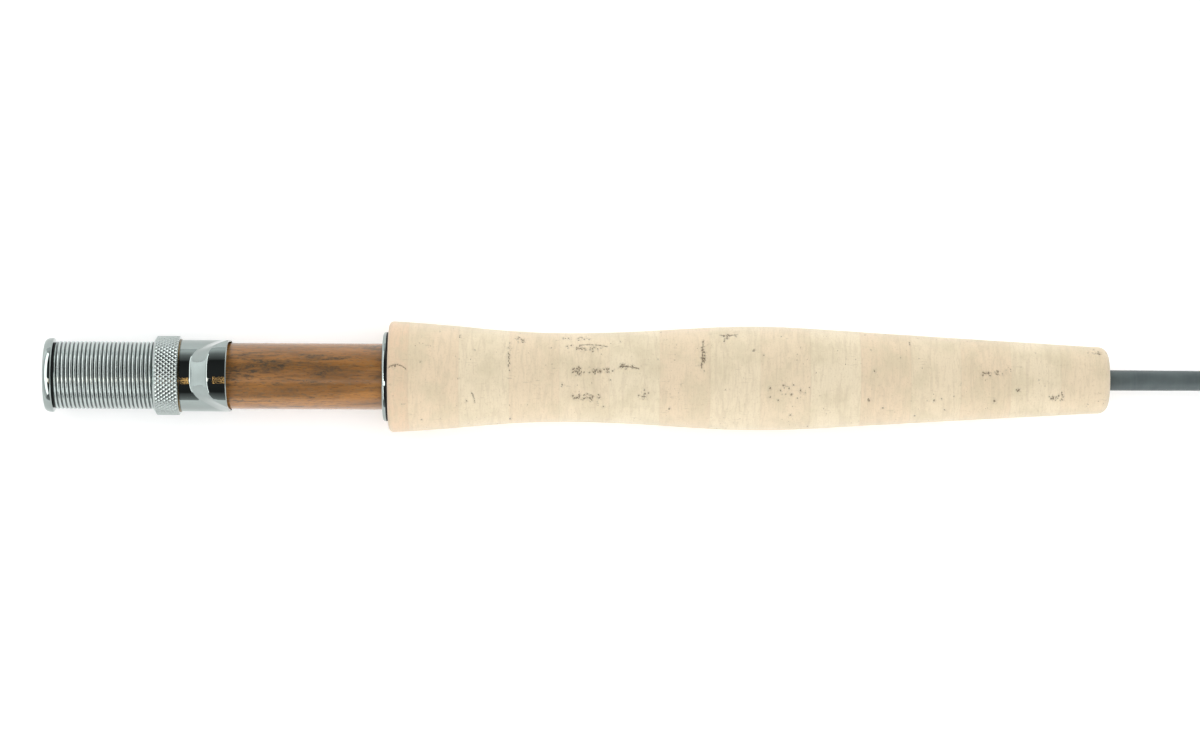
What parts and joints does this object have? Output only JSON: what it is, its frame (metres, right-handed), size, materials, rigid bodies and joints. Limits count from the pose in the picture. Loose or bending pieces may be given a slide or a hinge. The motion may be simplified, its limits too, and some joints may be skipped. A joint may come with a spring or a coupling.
{
  "type": "fly rod handle",
  "caption": "Fly rod handle: threaded metal reel seat with knurled lock nut and sliding hood, walnut insert, turned cork grip and the butt of a tapered graphite blank.",
  "frame": {"origin": "centre of the butt cap's flat end face", "axes": "+X along the rod's axis from the butt towards the tip; +Z towards the side of the seat that the reel's foot lies on; +Y completes a right-handed frame"},
  "size_m": [0.326, 0.0282, 0.0282],
  "materials": {
    "butt_cap": "polished",
    "barrel": "polished",
    "knurled_nut": "satin",
    "hood": "polished",
    "spring_steel": "satin",
    "brass": "satin",
    "black_seal": "matte",
    "walnut": "satin",
    "cork": "matte",
    "thin_cork": "matte",
    "arbor_cork": "matte",
    "graphite": "matte",
    "spigot": "satin"
  },
  "bodies": {
    "handle": {"butt_cap": "butt_cap", "butt_seal": "black_seal", "threaded_barrel": "barrel", "wood_insert": "walnut", "fixed_hood": "hood", "hood_gasket": "black_seal", "blank": "graphite", "ferrule_spigot": "spigot", "arbor_bushing_1": "arbor_cork", "arbor_bushing_2": "arbor_cork", "arbor_bushing_3": "arbor_cork", "cork_ring_01": "thin_cork", "cork_ring_02": "cork", "cork_ring_03": "cork", "cork_ring_04": "cork", "cork_ring_05": "cork", "cork_ring_06": "cork", "cork_ring_07": "cork", "cork_ring_08": "cork", "cork_ring_09": "cork", "cork_ring_10": "cork", "cork_ring_11": "cork", "cork_ring_12": "cork", "cork_ring_13": "cork", "cork_ring_14": "cork", "cork_ring_15": "cork"},
    "collar": {"snap_ring": "spring_steel", "swivel_bushing": "brass"},
    "lock_nut": {"lock_nut": "knurled_nut"},
    "sliding_hood": {"sliding_hood": "hood"}
  },
  "joints": [
    {"name": "hood_slide", "type": "slide", "parent": "handle", "child": "collar", "axis": [1, 0, 0], "range_m": [-0.02488, 0.00424]},
    {"name": "nut_turn", "type": "hinge", "parent": "collar", "child": "lock_nut", "pos_m": [0.0311, 0, 0], "axis": [1, 0, 0], "range_deg": [-8460, 1440]},
    {"name": "hood_swivel", "type": "hinge", "parent": "collar", "child": "sliding_hood", "pos_m": [0.041, 0, 0], "axis": [1, 0, 0], "continuous": true}
  ],
  "couplings": [
    {"joint": "hood_slide", "follows": "nut_turn", "m_per_rad": 0.00016844}
  ]
}
